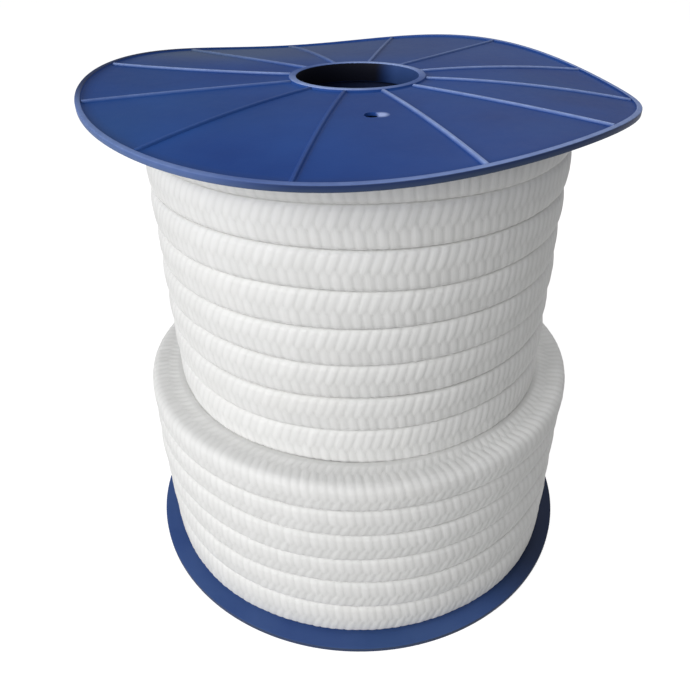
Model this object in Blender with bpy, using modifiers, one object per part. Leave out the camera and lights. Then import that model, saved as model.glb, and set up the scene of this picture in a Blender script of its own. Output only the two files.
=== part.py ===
"""Spool of braided gland packing: two ribbed plastic flanges, a barrel and the rope wound on it.

Metres, +Z up. The spool's axis is Z, and the lower flange stands on z = 0. The front of the spool faces -Y.
"""
import math

import bmesh
import bpy
from mathutils import Matrix, Vector

# Flange moulding
FLANGE_RADIUS = 0.1175
PLATE_THICKNESS = 0.0012
RELIEF_HEIGHT = 0.0012          # bead, ribs and hub lip stand this far out of the plate
BEAD_WIDTH = 0.0022
EDGE_SLOPE = 0.0005             # width of the sloping sides of bead and lip
RIM_CHAMFER = 0.0004
LIP_WIDTH = 0.0030
RIB_COUNT = 12
RIB_WIDTH = 0.0022
RIB_PHASE = math.radians(20)
RIB_DROP = 0.0002               # rib tops lie this far below bead and lip
TIE_HOLE_RADIUS = 0.0029
TIE_HOLE_PLACE = 0.0604         # distance of the tie hole from the axis
TIE_HOLE_ANGLE = math.radians(275)
BORE_RADIUS = 0.0266
SPIGOT_WALL = 0.0021            # the spigot on a flange's inner face plugs into the barrel
SPIGOT_DEPTH = 0.0060

# Barrel
BARREL_WALL = 0.0020
INSIDE_WIDTH = 0.2356           # between the flanges' inner faces
SEAT_GAP = 0.0003

# Rope and winding
ROPE_SIZE = 0.01645             # height of a turn along the axis
ROPE_GIVE = 0.01                # share of its height that a turn gives where the winding is tight
LAYER_BEDDING = 0.0007          # a layer sinks this far into the one under it
LOWER_TURNS = 6                 # turns of the outer layer, which stops at the step
GROOVE_DEPTH = 0.0020           # depth of the groove between two turns
TURN_SQUARENESS = 5.0           # exponent of a turn's crown, higher is squarer
FAT_TURN_LIFT = 0.0035          # the lowest turn is this much higher than the rest
FAT_TURNS = 3                   # grooves that it lifts in full
LIFT_FADE = 4                   # turns above them over which the others give way
LAYER_OVERLAP = 0.0040          # the outer layer is rooted this deep in the one under it
CROSSOVER_ANGLE = math.radians(90)

# Buckle of the upper flange, as (waves round the rim, height at the rim, direction of a crest in degrees)
BUCKLE_SAG = 0.0033
BUCKLE_WAVES = ((1, 0.0025, 128), (2, 0.0014, -9), (3, 0.0031, 61), (4, 0.0012, -36))
BUCKLE_EXPONENT = 2.0
RIM_DRAW = 0.0010               # the buckled rim is drawn in towards the axis by this much

# Fineness
FLANGE_SEGMENTS = 60
BARREL_SEGMENTS = 48
HOLE_SEGMENTS = 16
BUCKLE_RINGS = 4                # rings of points on the plate that follow the buckle
COLUMNS = 48                    # columns of points round a turn
CROSSOVER_COLUMNS = 8           # of these, the ones in which the rope climbs to the next turn
TURN_STATIONS = (-0.86, -0.5, 0.5, 0.86)
MERGE = 0.00001

# Sizes that follow
FLANGE_THICKNESS = PLATE_THICKNESS + RELIEF_HEIGHT
LIP_RADIUS = BORE_RADIUS + LIP_WIDTH
BEAD_INNER = FLANGE_RADIUS - BEAD_WIDTH
SPIGOT_RADIUS = BORE_RADIUS + SPIGOT_WALL
BARREL_INNER = SPIGOT_RADIUS + SEAT_GAP
BARREL_RADIUS = BARREL_INNER + BARREL_WALL
UPPER_FACE = FLANGE_THICKNESS + INSIDE_WIDTH
WINDING_INNER = BARREL_RADIUS + SEAT_GAP
WINDING_BOTTOM = FLANGE_THICKNESS + SEAT_GAP
LAYER_STEP = ROPE_SIZE - LAYER_BEDDING
LOWER_LAYERS = int((FLANGE_RADIUS - WINDING_INNER) / LAYER_STEP)
LOWER_RADIUS = WINDING_INNER + LOWER_LAYERS * LAYER_STEP
UPPER_RADIUS = LOWER_RADIUS - LAYER_STEP

BLUE_PLASTIC = ("blue_plastic", (0.030, 0.080, 0.270, 1.0), 0.42)
WHITE_ROPE = ("white_braid", (0.780, 0.780, 0.760, 1.0), 0.65)


def clear_scene():
    """Starts from an empty scene."""
    for obj in list(bpy.data.objects):
        bpy.data.objects.remove(obj, do_unlink=True)


def make_collection(name):
    """A new collection in the scene."""
    collection = bpy.data.collections.new(name)
    bpy.context.scene.collection.children.link(collection)
    return collection


def make_material(name, colour, roughness):
    """A plain Principled material."""
    material = bpy.data.materials.new(name)
    material.use_nodes = True
    shader = material.node_tree.nodes["Principled BSDF"]
    shader.inputs["Base Color"].default_value = colour
    shader.inputs["Roughness"].default_value = roughness
    shader.inputs["Metallic"].default_value = 0.0
    return material


def make_object(name, bm, collection, material=None):
    """Turns a bmesh into a named object."""
    mesh = bpy.data.meshes.new(name)
    bm.to_mesh(mesh)
    bm.free()
    obj = bpy.data.objects.new(name, mesh)
    collection.objects.link(obj)
    if material:
        mesh.materials.append(material)
    return obj


def make_cutter(name, bm, collection):
    """A guide shape that isn't part of the object."""
    cutter = make_object(name, bm, collection)
    cutter.hide_render = True
    cutter.display_type = "WIRE"
    return cutter


def turned(name, profile, segments, collection, material):
    """A ring turned from a closed outline of (radius, height) points that runs down its outer side."""
    bm = bmesh.new()
    points = [bm.verts.new((radius, 0.0, height)) for radius, height in profile]
    for start, finish in zip(points, points[1:] + points[:1]):
        bm.edges.new((start, finish))
    obj = make_object(name, bm, collection, material)
    screw = obj.modifiers.new("turn", "SCREW")
    screw.axis = "Z"
    screw.angle = math.tau
    screw.steps = segments
    screw.render_steps = segments
    screw.use_merge_vertices = True
    screw.merge_threshold = MERGE
    return obj


def add_boolean(obj, operand, operation):
    """An exact Boolean with another object."""
    modifier = obj.modifiers.new(operand.name, "BOOLEAN")
    modifier.operation = operation
    modifier.solver = "EXACT"
    modifier.object = operand


def smooth(obj, angle_degrees):
    """Smooth shading with crisp edges above the angle."""
    obj.data.shade_smooth()
    obj.data.set_sharp_from_angle(angle=math.radians(angle_degrees))


def bake(obj):
    """Applies an object's modifiers to its mesh."""
    depsgraph = bpy.context.evaluated_depsgraph_get()
    mesh = bpy.data.meshes.new_from_object(obj.evaluated_get(depsgraph))
    mesh.name = obj.name
    obj.modifiers.clear()
    obj.data = mesh


def plate_rings(count):
    """Radii of the rings between hub lip and rim bead, from the lip outwards."""
    span = BEAD_INNER - LIP_RADIUS
    return [LIP_RADIUS + span * (ring + 1) / (count + 1) for ring in range(count)]


def flange_profile(rings):
    """Section of a flange: inner face on z = 0, bead and lip on top, and the spigot for the barrel below."""
    lip = [
        (BORE_RADIUS, FLANGE_THICKNESS),
        (LIP_RADIUS - EDGE_SLOPE, FLANGE_THICKNESS),
        (LIP_RADIUS, PLATE_THICKNESS),
    ]
    plate = [(radius, PLATE_THICKNESS) for radius in rings]
    bead = [
        (BEAD_INNER, PLATE_THICKNESS),
        (BEAD_INNER + EDGE_SLOPE, FLANGE_THICKNESS),
        (FLANGE_RADIUS - RIM_CHAMFER, FLANGE_THICKNESS),
    ]
    rim = [
        (FLANGE_RADIUS, FLANGE_THICKNESS - RIM_CHAMFER),
        (FLANGE_RADIUS, RIM_CHAMFER),
        (FLANGE_RADIUS - RIM_CHAMFER, 0.0),
    ]
    underside = [(radius, 0.0) for radius in reversed(rings)]
    spigot = [
        (SPIGOT_RADIUS, 0.0),
        (SPIGOT_RADIUS, -SPIGOT_DEPTH),
        (BORE_RADIUS, -SPIGOT_DEPTH),
    ]
    return lip + plate + bead + rim + underside + spigot


def rib_set(rings):
    """All ribs of a flange, each a bar with bevelled top edges, rooted in plate, lip and bead."""
    bm = bmesh.new()
    foot = PLATE_THICKNESS / 2
    top = FLANGE_THICKNESS - RIB_DROP
    start = LIP_RADIUS - LIP_WIDTH / 2
    finish = BEAD_INNER + BEAD_WIDTH / 2
    for rib in range(RIB_COUNT):
        bar = bmesh.new()
        bmesh.ops.create_cube(bar, size=1.0)
        bmesh.ops.scale(bar, vec=(finish - start, RIB_WIDTH, top - foot), verts=bar.verts)
        bmesh.ops.translate(bar, vec=((start + finish) / 2, 0.0, (foot + top) / 2), verts=bar.verts)
        crown = [edge for edge in bar.edges if all(vert.co.z > PLATE_THICKNESS for vert in edge.verts)]
        crown = [edge for edge in crown if abs(edge.verts[0].co.y - edge.verts[1].co.y) < MERGE]
        bmesh.ops.bevel(bar, geom=crown, offset=EDGE_SLOPE, segments=1, affect="EDGES")
        for radius in rings:
            everything = bar.verts[:] + bar.edges[:] + bar.faces[:]
            bmesh.ops.bisect_plane(bar, geom=everything, plane_co=(radius, 0.0, 0.0), plane_no=(1.0, 0.0, 0.0))
        turn = Matrix.Rotation(RIB_PHASE + math.tau * rib / RIB_COUNT, 3, "Z")
        bmesh.ops.rotate(bar, cent=(0.0, 0.0, 0.0), matrix=turn, verts=bar.verts)
        mesh = bpy.data.meshes.new("rib_bar")
        bar.to_mesh(mesh)
        bar.free()
        bm.from_mesh(mesh)
        bpy.data.meshes.remove(mesh)
    return bm


def tie_hole():
    """Pin that cuts the tie hole through the plate."""
    bm = bmesh.new()
    bmesh.ops.create_cone(
        bm,
        cap_ends=True,
        segments=HOLE_SEGMENTS,
        radius1=TIE_HOLE_RADIUS,
        radius2=TIE_HOLE_RADIUS,
        depth=4 * FLANGE_THICKNESS,
    )
    place = Vector((math.cos(TIE_HOLE_ANGLE), math.sin(TIE_HOLE_ANGLE), 0.0)) * TIE_HOLE_PLACE
    bmesh.ops.translate(bm, vec=place, verts=bm.verts)
    return bm


def make_flange(name, ring_count, collection, cutters, material):
    """A flat flange with its ribs and its tie hole, inner face on z = 0."""
    rings = plate_rings(ring_count)
    flange = turned(name, flange_profile(rings), FLANGE_SEGMENTS, collection, material)
    ribs = make_cutter(name + "_ribs", rib_set(rings), cutters)
    hole = make_cutter(name + "_tie_hole", tie_hole(), cutters)
    add_boolean(flange, ribs, "UNION")
    add_boolean(flange, hole, "DIFFERENCE")
    bake(flange)
    return flange


def buckle(x, y):
    """How far the upper flange stands off its flat shape at a point."""
    radius = math.hypot(x, y)
    reach = max(0.0, (radius - LIP_RADIUS) / (FLANGE_RADIUS - LIP_RADIUS))
    direction = math.atan2(y, x)
    height = -BUCKLE_SAG
    for waves, crest, crest_direction in BUCKLE_WAVES:
        height += crest * math.cos(waves * (direction - math.radians(crest_direction)))
    return height * reach**BUCKLE_EXPONENT


def buckled(flat):
    """Where a point of the flat flange lies once the flange is on the spool and buckled."""
    reach = max(0.0, (math.hypot(flat.x, flat.y) - LIP_RADIUS) / (FLANGE_RADIUS - LIP_RADIUS))
    share = 1.0 - RIM_DRAW / FLANGE_RADIUS * reach**BUCKLE_EXPONENT
    return Vector((flat.x * share, flat.y * share, flat.z + UPPER_FACE + buckle(flat.x, flat.y)))


def make_upper_flange(collection, cutters, material):
    """The upper flange, buckled from its hub lip outwards."""
    flange = make_flange("upper_flange", BUCKLE_RINGS, collection, cutters, material)
    for vert in flange.data.vertices:
        vert.co = buckled(vert.co)
    smooth(flange, 25)
    return flange


def make_lower_flange(collection, cutters, material):
    """The same moulding turned over and flat on the ground."""
    flange = make_flange("lower_flange", 0, collection, cutters, material)
    flange.data.transform(Matrix.Rotation(math.pi, 4, "X"))
    flange.location.z = FLANGE_THICKNESS
    smooth(flange, 25)
    return flange


def make_barrel(collection, material):
    """The tube between the flanges, with a spigot in each end."""
    low = FLANGE_THICKNESS + SEAT_GAP
    high = UPPER_FACE - SEAT_GAP
    profile = [(BARREL_INNER, high), (BARREL_RADIUS, high), (BARREL_RADIUS, low), (BARREL_INNER, low)]
    barrel = turned("barrel", profile, BARREL_SEGMENTS, collection, material)
    bake(barrel)
    smooth(barrel, 25)
    return barrel


def wound_turns():
    """Turns that fit below the lowest part of the buckled flange, and the height of one."""
    around = [math.tau * step / FLANGE_SEGMENTS for step in range(FLANGE_SEGMENTS)]
    lowest = min(buckle(UPPER_RADIUS * math.cos(angle), UPPER_RADIUS * math.sin(angle)) for angle in around)
    room = UPPER_FACE + min(lowest, 0.0) - SEAT_GAP - WINDING_BOTTOM
    turns = int(room / (ROPE_SIZE * (1.0 - ROPE_GIVE)))
    return turns, min(ROPE_SIZE, room / turns)


def ease(share):
    """Smooth step from 0 to 1."""
    share = min(1.0, max(0.0, share))
    return share * share * (3.0 - 2.0 * share)


def groove_height(turn, turn_height):
    """Height of the groove on top of a turn where the winding runs level."""
    lift = FAT_TURN_LIFT * (1.0 - ease((turn - FAT_TURNS) / LIFT_FADE)) if turn else 0.0
    return WINDING_BOTTOM + turn * turn_height + lift


def close_wedge(bm, flat, ramp, joint):
    """Fills between a level edge and the ramp that leaves it, up to the joint that runs from one to the other."""
    last = len(ramp) - 1
    bm.faces.new((flat[0], flat[1], ramp[1]))
    for step in range(1, last - 1):
        bm.faces.new((flat[step], flat[step + 1], ramp[step + 1], ramp[step]))
    bm.faces.new((flat[last - 1], flat[last], *joint, ramp[last], ramp[last - 1]))


def coil_body(levels, outer_radius, inner_radius, direction, cut_end, foot):
    """A layer of rope as one closed body.

    levels are the heights of its grooves, from its lowest edge up. Each turn runs level and climbs to the next in
    the crossover at the back. direction is 1 where it climbs anticlockwise seen from above, and -1 where it climbs
    clockwise. With cut_end the rope's end stands free on the top turn; without it the winding ends level. The wall
    goes on plain from the lowest groove down to foot.
    """
    bm = bmesh.new()
    turns = len(levels) - 1
    end = turns * COLUMNS - CROSSOVER_COLUMNS
    first_angle = CROSSOVER_ANGLE + direction * math.pi * CROSSOVER_COLUMNS / COLUMNS
    groove_radius = outer_radius - GROOVE_DEPTH

    def edge_height(column):
        turn, place = divmod(column, COLUMNS)
        climb = ease((place - COLUMNS + CROSSOVER_COLUMNS) / CROSSOVER_COLUMNS)
        above = levels[min(turn + 1, turns)]
        return levels[turn] + (above - levels[turn]) * climb

    def point(column, radius, height):
        angle = first_angle + direction * math.tau * column / COLUMNS
        return bm.verts.new((radius * math.cos(angle), radius * math.sin(angle), height))

    def at_height(vert, height):
        return bm.verts.new((vert.co.x, vert.co.y, height))

    def at_inner_wall(vert):
        share = inner_radius / math.hypot(vert.co.x, vert.co.y)
        return bm.verts.new((vert.co.x * share, vert.co.y * share, vert.co.z))

    edge = [point(column, groove_radius, edge_height(column)) for column in range(end + COLUMNS + 1)]
    strips = []
    for column in range(end + 1):
        low = edge_height(column)
        high = edge_height(column + COLUMNS)
        face = []
        for station in TURN_STATIONS:
            radius = outer_radius - GROOVE_DEPTH * abs(station) ** TURN_SQUARENESS
            face.append(point(column, radius, (low + high) / 2 + station * (high - low) / 2))
        strips.append([edge[column], *face, edge[column + COLUMNS]])
    for left, right in zip(strips, strips[1:]):
        for row in range(len(left) - 1):
            bm.faces.new((left[row], right[row], right[row + 1], left[row + 1]))

    arc = range(COLUMNS - CROSSOVER_COLUMNS + 1, COLUMNS)
    floor = [point(column, groove_radius, levels[0]) for column in arc]
    level_start = edge[:COLUMNS - CROSSOVER_COLUMNS + 1]
    ramp = edge[COLUMNS - CROSSOVER_COLUMNS:COLUMNS + 1]
    close_wedge(bm, [ramp[0], *floor, edge[0]], ramp, strips[0][1:-1])
    bottom = level_start + floor
    if foot < levels[0]:
        skirt = [at_height(vert, foot) for vert in bottom]
        for here in range(COLUMNS):
            after = (here + 1) % COLUMNS
            bm.faces.new((bottom[here], bottom[after], skirt[after], skirt[here]))
        bottom = skirt

    level_end = edge[turns * COLUMNS:]
    ramp = edge[end:turns * COLUMNS + 1]
    cut = strips[-1][1:-1]
    if cut_end:
        top = level_end + ramp[:-1]
    else:
        ceiling = [point(column, groove_radius, levels[-1]) for column in arc]
        close_wedge(bm, [ramp[-1], *reversed(ceiling), level_end[-1]], ramp[::-1], cut[::-1])
        top = level_end + ceiling

    inner_bottom = [at_inner_wall(vert) for vert in bottom]
    inner_top = [at_inner_wall(vert) for vert in top]
    stop = len(level_end) - 1
    for here in range(COLUMNS):
        after = (here + 1) % COLUMNS
        bm.faces.new((bottom[here], bottom[after], inner_bottom[after], inner_bottom[here]))
    for here in range(len(top)):
        after = (here + 1) % len(top)
        if cut_end and here == stop:
            bm.faces.new((top[here], inner_top[here], inner_top[after], top[after], *cut))
        else:
            bm.faces.new((top[here], top[after], inner_top[after], inner_top[here]))
    for here in range(COLUMNS):
        after = (here + 1) % COLUMNS
        upper_here = inner_top[here + 1 if cut_end and here >= stop else here]
        upper_after = inner_top[after + 1 if cut_end and after > stop else after]
        wall = [inner_bottom[here], inner_bottom[after]]
        if cut_end and after == stop:
            wall.append(inner_top[stop + 1])
        bm.faces.new((*wall, upper_after, upper_here))
    bmesh.ops.recalc_face_normals(bm, faces=bm.faces)
    return bm


def make_winding(collection, cutters, material):
    """The wound rope: the full-height inner layers, and the outer layer that stops at the step."""
    turns, turn_height = wound_turns()
    hidden_turns = LOWER_TURNS - 1
    upper_levels = [groove_height(turn, turn_height) for turn in range(hidden_turns, turns + 1)]
    lower_levels = [groove_height(turn, turn_height) for turn in range(LOWER_TURNS + 1)]
    inner = coil_body(upper_levels, UPPER_RADIUS, WINDING_INNER, -1, False, WINDING_BOTTOM)
    root = UPPER_RADIUS - LAYER_OVERLAP
    outer = coil_body(lower_levels, LOWER_RADIUS, root, 1, True, WINDING_BOTTOM)
    winding = make_object("packing_winding", inner, collection, material)
    layer = make_cutter("outer_layer", outer, cutters)
    add_boolean(winding, layer, "UNION")
    bake(winding)
    smooth(winding, 50)
    return winding


def main():
    clear_scene()
    spool = make_collection("gland_packing_spool")
    cutters = make_collection("cutters")
    plastic = make_material(*BLUE_PLASTIC)
    rope = make_material(*WHITE_ROPE)
    make_upper_flange(spool, cutters, plastic)
    make_lower_flange(spool, cutters, plastic)
    make_barrel(spool, plastic)
    make_winding(spool, cutters, rope)


main()
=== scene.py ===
import math

import bmesh
import bpy
import numpy as np
from mathutils import Matrix, Vector


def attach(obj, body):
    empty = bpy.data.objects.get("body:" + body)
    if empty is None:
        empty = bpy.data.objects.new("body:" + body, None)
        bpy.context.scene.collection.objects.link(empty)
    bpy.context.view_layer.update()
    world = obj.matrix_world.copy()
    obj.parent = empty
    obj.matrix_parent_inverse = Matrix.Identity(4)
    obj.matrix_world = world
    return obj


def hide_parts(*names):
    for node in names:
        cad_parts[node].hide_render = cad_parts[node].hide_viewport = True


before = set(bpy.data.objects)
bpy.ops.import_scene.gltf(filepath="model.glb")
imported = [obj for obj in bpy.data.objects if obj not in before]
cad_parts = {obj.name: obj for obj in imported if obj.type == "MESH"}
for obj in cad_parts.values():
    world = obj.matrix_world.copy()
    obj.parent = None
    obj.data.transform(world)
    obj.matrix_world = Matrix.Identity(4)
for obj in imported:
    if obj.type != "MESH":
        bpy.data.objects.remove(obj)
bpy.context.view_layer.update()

# Spool sizes in metres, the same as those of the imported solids
FLANGE_RADIUS = 0.1175
PLATE_THICKNESS = 0.0012
RELIEF_HEIGHT = 0.0012
FLANGE_THICKNESS = PLATE_THICKNESS + RELIEF_HEIGHT
BEAD_WIDTH = 0.0022
LIP_WIDTH = 0.0030
BORE_RADIUS = 0.0266
LIP_RADIUS = BORE_RADIUS + LIP_WIDTH
SPIGOT_RADIUS = BORE_RADIUS + 0.0021
SPIGOT_DEPTH = 0.0060
BARREL_RADIUS = 0.0310
SEAT_GAP = 0.0003
WINDING_INNER = BARREL_RADIUS + SEAT_GAP
UPPER_FACE = 0.2380
RIB_COUNT = 12
RIB_HEIGHT = 0.0010
RIB_PHASE = math.radians(20)
TIE_HOLE_RADIUS = 0.0029
TIE_HOLE_PLACE = 0.0604
TIE_HOLE_ANGLE = math.radians(275)
HOLE_HIGHLIGHT_SPOT = (0.0086, -0.0601, 0.2390)  # painted highlight: the tie hole's lit right edge, painted pale on the plastic
HOLE_HIGHLIGHT_REACH = 0.0034
HOLE_HIGHLIGHT_STRENGTH = 1.8

# Buckle of the upper flange. Each wave is given by how many go round the rim, height and a crest's direction.
BUCKLE_SAG = 0.0033             # the rim's mean drop below the lip
BUCKLE_WAVES = ((1, 0.0025, 128), (2, 0.0014, -9), (3, 0.0031, 61), (4, 0.0012, -36))
RIM_DRAW = 0.0010               # the buckled rim is drawn in this far

# Winding sizes
ROPE_SIZE = 0.01645             # from groove to groove
LAYER_STEP = 0.01575            # from layer to layer
UPPER_LAYERS = 4                # the lower stage has one layer more
UPPER_RADIUS = WINDING_INNER + UPPER_LAYERS * LAYER_STEP
LOWER_RADIUS = UPPER_RADIUS + LAYER_STEP
WINDING_BOTTOM = FLANGE_THICKNESS + SEAT_GAP
TURNS = 14
STEP_TURNS = 6
FAT_TURN_LIFT = 0.0035          # the lowest turn is this much fatter than the others
FAT_TURNS = 3                   # grooves up to this one are lifted by all of it
LIFT_FADE = 4                   # and over this many more turns the lift ends
STEP_ROOT = 0.0030              # the step turn's back sinks this far into the layer behind it
STEP_BEDDING = 0.0025           # the turn behind the step turn starts this much lower than it
CROSSOVER_ANGLE = math.radians(90)
TURN = 48.0                     # places round one turn, the unit in which a place on the rope is given
CROSSOVER = 8.0                 # of these, the ones in which the rope climbs

# Braid, all in metres
LANES = 4                       # of slanted strands, each round one corner of the rope
STRAND_PITCH = 0.0040           # along the rope, from strand to strand
SAMPLES = 6                     # columns of points for each strand
SHOULDER = 0.0042               # radius of the rope's corners
FACE_SLOPE = 0.21               # how far a face leans back where its corner begins, in radians
TOUCHING_BEND = math.radians(54)  # a corner bends this far before it meets the next turn's
STRAND_SLANT = -0.24            # advance along the rope for each metre across it
TWIST = 0.09                    # and the same for the rope's own twist, which leans every strand one way
STRAND_DEPTH = 0.00022          # from a strand's crest down to the crease beside it
STRAND_FLOOR = -0.00045         # the deepest point between strands
TIP_DIVE = 0.00020              # a strand's tips lie this far under its middle
TIP_REACH = 0.0013              # a tip runs this far past the middle of the face
TIP_LENGTH = 0.0034             # over this length a strand narrows to its tip
TIP_DIVE_LENGTH = 2.2 * TIP_LENGTH  # and over this length it dives
BULGE_POWER = 2.3               # how full a strand's back is, where 2 is round
BULGE_FLOOR = -2.0              # the lowest that it falls beside the strand, whose crest is at 1
NARROWEST = 1e-4                # least share of its width that a strand has at its tip
STRAND_SIZES = (0.86, 1.10)     # strands vary between these shares of the nominal size
SIZE_LIFT = 0.0006              # for each unit of size a strand stands this much higher
STRAND_SHIFT = 0.045            # a strand lies off its place by up to this share of a pitch
SPARE_STRANDS = 10              # strands beyond each end of a layer
TUBE_DEPTH = 0.0065             # a wound turn is modelled down to this depth
WEDGE_SHARE = 0.5               # a turn that thins to less than this share, on a flange, draws in
WEDGE_SINK = 0.0035             # by up to this much
THINNEST_HALF = 0.0006          # and keeps twice this height
PRESSED_DEPTH = 0.00012         # where turns touch, the braid is pressed in this far
PRESSED_SHADE = 0.45            # and is painted darker by this share, as shade where the turns touch
PRESSED_START = 0.70            # share of a corner's length at which that begins
PRESSED_FADE = 0.35             # and over which it grows
ROPE_SHARP = math.radians(60)   # edges that turn more than this stay sharp

# Floor and light
WORLD_LIGHT = 0.34
FLOOR_SIZE = 6.0
FLOOR_COLOUR = 0.30
FLOOR_GLOW = 0.88
LIGHT_TARGET = (0.0, 0.0, 0.12)
KEY_PLACE = (-1.00, -0.85, 0.68)
KEY_WIDTH = 1.0
KEY_WATTS = 15.2
FRONT_PLACE = (0.10, -1.45, 0.50)
FRONT_WIDTH = 1.2
FRONT_WATTS = 4.0
BACK_PLACE = (0.55, 1.10, 1.55)  # high, so that the camera sees no glare of it on the upper flange
BACK_WIDTH = 0.8
BACK_WATTS = 6.5

# Camera, from the perspective of the photograph, with its lens and sensor in millimetres
CAMERA_BACK = 0.3011            # from the spool's axis
CAMERA_HEIGHT = 0.2990
CAMERA_PITCH = 0.5734           # down, in radians
CAMERA_YAW = -0.0224
CAMERA_ROLL = -0.0125
CAMERA_LENS = 34.26
CAMERA_SENSOR = 36.0
CAMERA_NEAR = 0.01


class Term:
    """An output in a node tree, which formulas can use like a number."""

    def __init__(self, tree, socket):
        self.tree = tree
        self.socket = socket

    def node(self, kind, settings=None, sockets=None, output=0):
        """A node of this kind. Settings come first, then the values or links of its sockets."""
        made = self.tree.nodes.new(kind)
        for name, value in (settings or {}).items():
            setattr(made, name, value)
        for name, value in (sockets or {}).items():
            if isinstance(value, Term):
                self.tree.links.new(value.socket, made.inputs[name])
            else:
                made.inputs[name].default_value = value
        return Term(self.tree, made.outputs[output])

    def math(self, operation, first, second):
        return self.node("ShaderNodeMath", {"operation": operation}, {0: first, 1: second})

    def __add__(self, other):
        return self.math("ADD", self, other)

    def __radd__(self, other):
        return self.math("ADD", other, self)

    def __sub__(self, other):
        return self.math("SUBTRACT", self, other)

    def __rsub__(self, other):
        return self.math("SUBTRACT", other, self)

    def __mul__(self, other):
        return self.math("MULTIPLY", self, other)

    def __rmul__(self, other):
        return self.math("MULTIPLY", other, self)

    def limited(self):
        """This, kept between 0 and 1."""
        return self.node("ShaderNodeClamp", None, {"Value": self})

    def above(self, start, gain):
        """How far this rises above start, times gain, between 0 and 1."""
        return ((self - start) * gain).limited()

    def varied(self, noise, least, more):
        """This, made uneven by a noise, between 0 and 1."""
        return (self * (least + more * noise)).limited()

    def attribute(self, name):
        return self.node("ShaderNodeAttribute", {"attribute_name": name}, None, "Fac")

    def blend(self, first, second):
        """The first colour where this is 0 and the second where it is 1."""
        return self.node("ShaderNodeMix", {"data_type": "RGBA"}, {0: self, 6: first, 7: second}, 2)

    def noise(self, place, scale, detail=2.0):
        sockets = {"Vector": place, "Scale": scale, "Detail": detail}
        return self.node("ShaderNodeTexNoise", None, sockets, "Fac")

    def bump(self, height, distance, strength):
        sockets = {"Height": height, "Distance": distance, "Strength": strength}
        return self.node("ShaderNodeBump", None, sockets, "Normal")


def new_material(name, constants):
    """A Principled material. Gives the material, a term to build on, and its shader."""
    material = bpy.data.materials.new(name)
    material.use_nodes = True
    tree = material.node_tree
    shader = tree.nodes["Principled BSDF"]
    for socket, value in constants.items():
        shader.inputs[socket].default_value = value
    return material, Term(tree, None), shader


def feed(shader, socket, term):
    term.tree.links.new(term.socket, shader.inputs[socket])


# Unevenness of the plastic, as spots in a metre, and the height of its grain
CLOUD_SCALE = 24.0
PATCH_SCALE = 8.0
SPECK_SCALE = 210.0
FINE_GRAIN_SCALE = 900.0
COARSE_GRAIN_SCALE = 60.0
GRAIN_HEIGHT = 0.00018


def blue_plastic(name, darkening):
    """Moulded plastic: uneven deep blue, satin, with dust, painted highlights, painted shade and a painted
    reflection.
    """
    constants = {"Specular IOR Level": 0.15, "IOR": 1.45}
    material, term, shader = new_material(name, constants)
    place = term.node("ShaderNodeTexCoord", None, None, "Object")
    cloud = term.noise(place, CLOUD_SCALE, detail=3.0)
    patch = term.noise(place, PATCH_SCALE)
    speck = term.noise(place, SPECK_SCALE)
    painted_highlight = term.attribute("painted_highlight")
    edge = term.attribute("edge")
    dust_and_painted_light = term.attribute("dust_and_painted_light")
    painted_shade = term.attribute("painted_shade")
    deep = (0.011, 0.050, 0.235, 1.0)
    light = (0.019, 0.074, 0.305, 1.0)
    green = (0.022, 0.082, 0.248, 1.0)
    highlight_pale = (0.290, 0.390, 0.700, 1.0)
    grey = (0.014, 0.023, 0.062, 1.0)
    dust_and_sheen_grey = (0.125, 0.160, 0.178, 1.0)
    painted_shade_dark = (0.006, 0.007, 0.014, 1.0)
    hole_highlight_white = (0.400, 0.500, 0.860, 1.0)
    colour = cloud.above(start=0.35, gain=2.4).blend(deep, light)
    colour = patch.above(start=0.50, gain=2.6).blend(colour, green)
    # Painted highlights: pale on the rib tops, bead and lip
    colour = painted_highlight.varied(speck, least=0.70, more=0.60).blend(colour, highlight_pale)
    # Painted shade: grey on the flanges' outer edges and on the left of the bead
    colour = edge.varied(cloud, least=0.55, more=0.50).blend(colour, grey)
    # Dust on the inner faces, and painted light: paler on the bore's lit side and a painted reflection on the
    # upper plate's back
    colour = dust_and_painted_light.varied(cloud, least=0.40, more=1.20).blend(colour, dust_and_sheen_grey)
    # Painted shade: near-black on the bore's shaded walls, the lower flange's shaded sector and the whole
    # barrel
    colour = (painted_shade + darkening).limited().blend(colour, painted_shade_dark)
    # Painted highlight: pale plastic near the tie hole's lit right edge
    measure = {"operation": "DISTANCE"}
    from_spot = term.node("ShaderNodeVectorMath", measure, {0: place, 1: HOLE_HIGHLIGHT_SPOT}, "Value")
    nearness = (HOLE_HIGHLIGHT_REACH - from_spot) * (HOLE_HIGHLIGHT_STRENGTH / HOLE_HIGHLIGHT_REACH)
    colour = nearness.limited().blend(colour, hole_highlight_white)
    feed(shader, "Base Color", colour)
    feed(shader, "Roughness", 0.42 + 0.16 * cloud + 0.08 * speck)
    fine_grain = term.noise(place, FINE_GRAIN_SCALE)
    coarse_grain = term.noise(place, COARSE_GRAIN_SCALE, detail=3.0)
    feed(shader, "Normal", term.bump(fine_grain * 0.5 + coarse_grain * 0.5, GRAIN_HEIGHT, strength=0.35))
    return material


FILAMENTS_ACROSS = 1500.0       # filaments in a metre across a strand
FILAMENTS_ALONG = 90.0          # and how often they change in a metre along it
FILAMENT_SETS = 40.0            # strands of different tints show different filaments
FILAMENT_HEIGHT = 0.00010
SOIL_SCALE = 30.0


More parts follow.
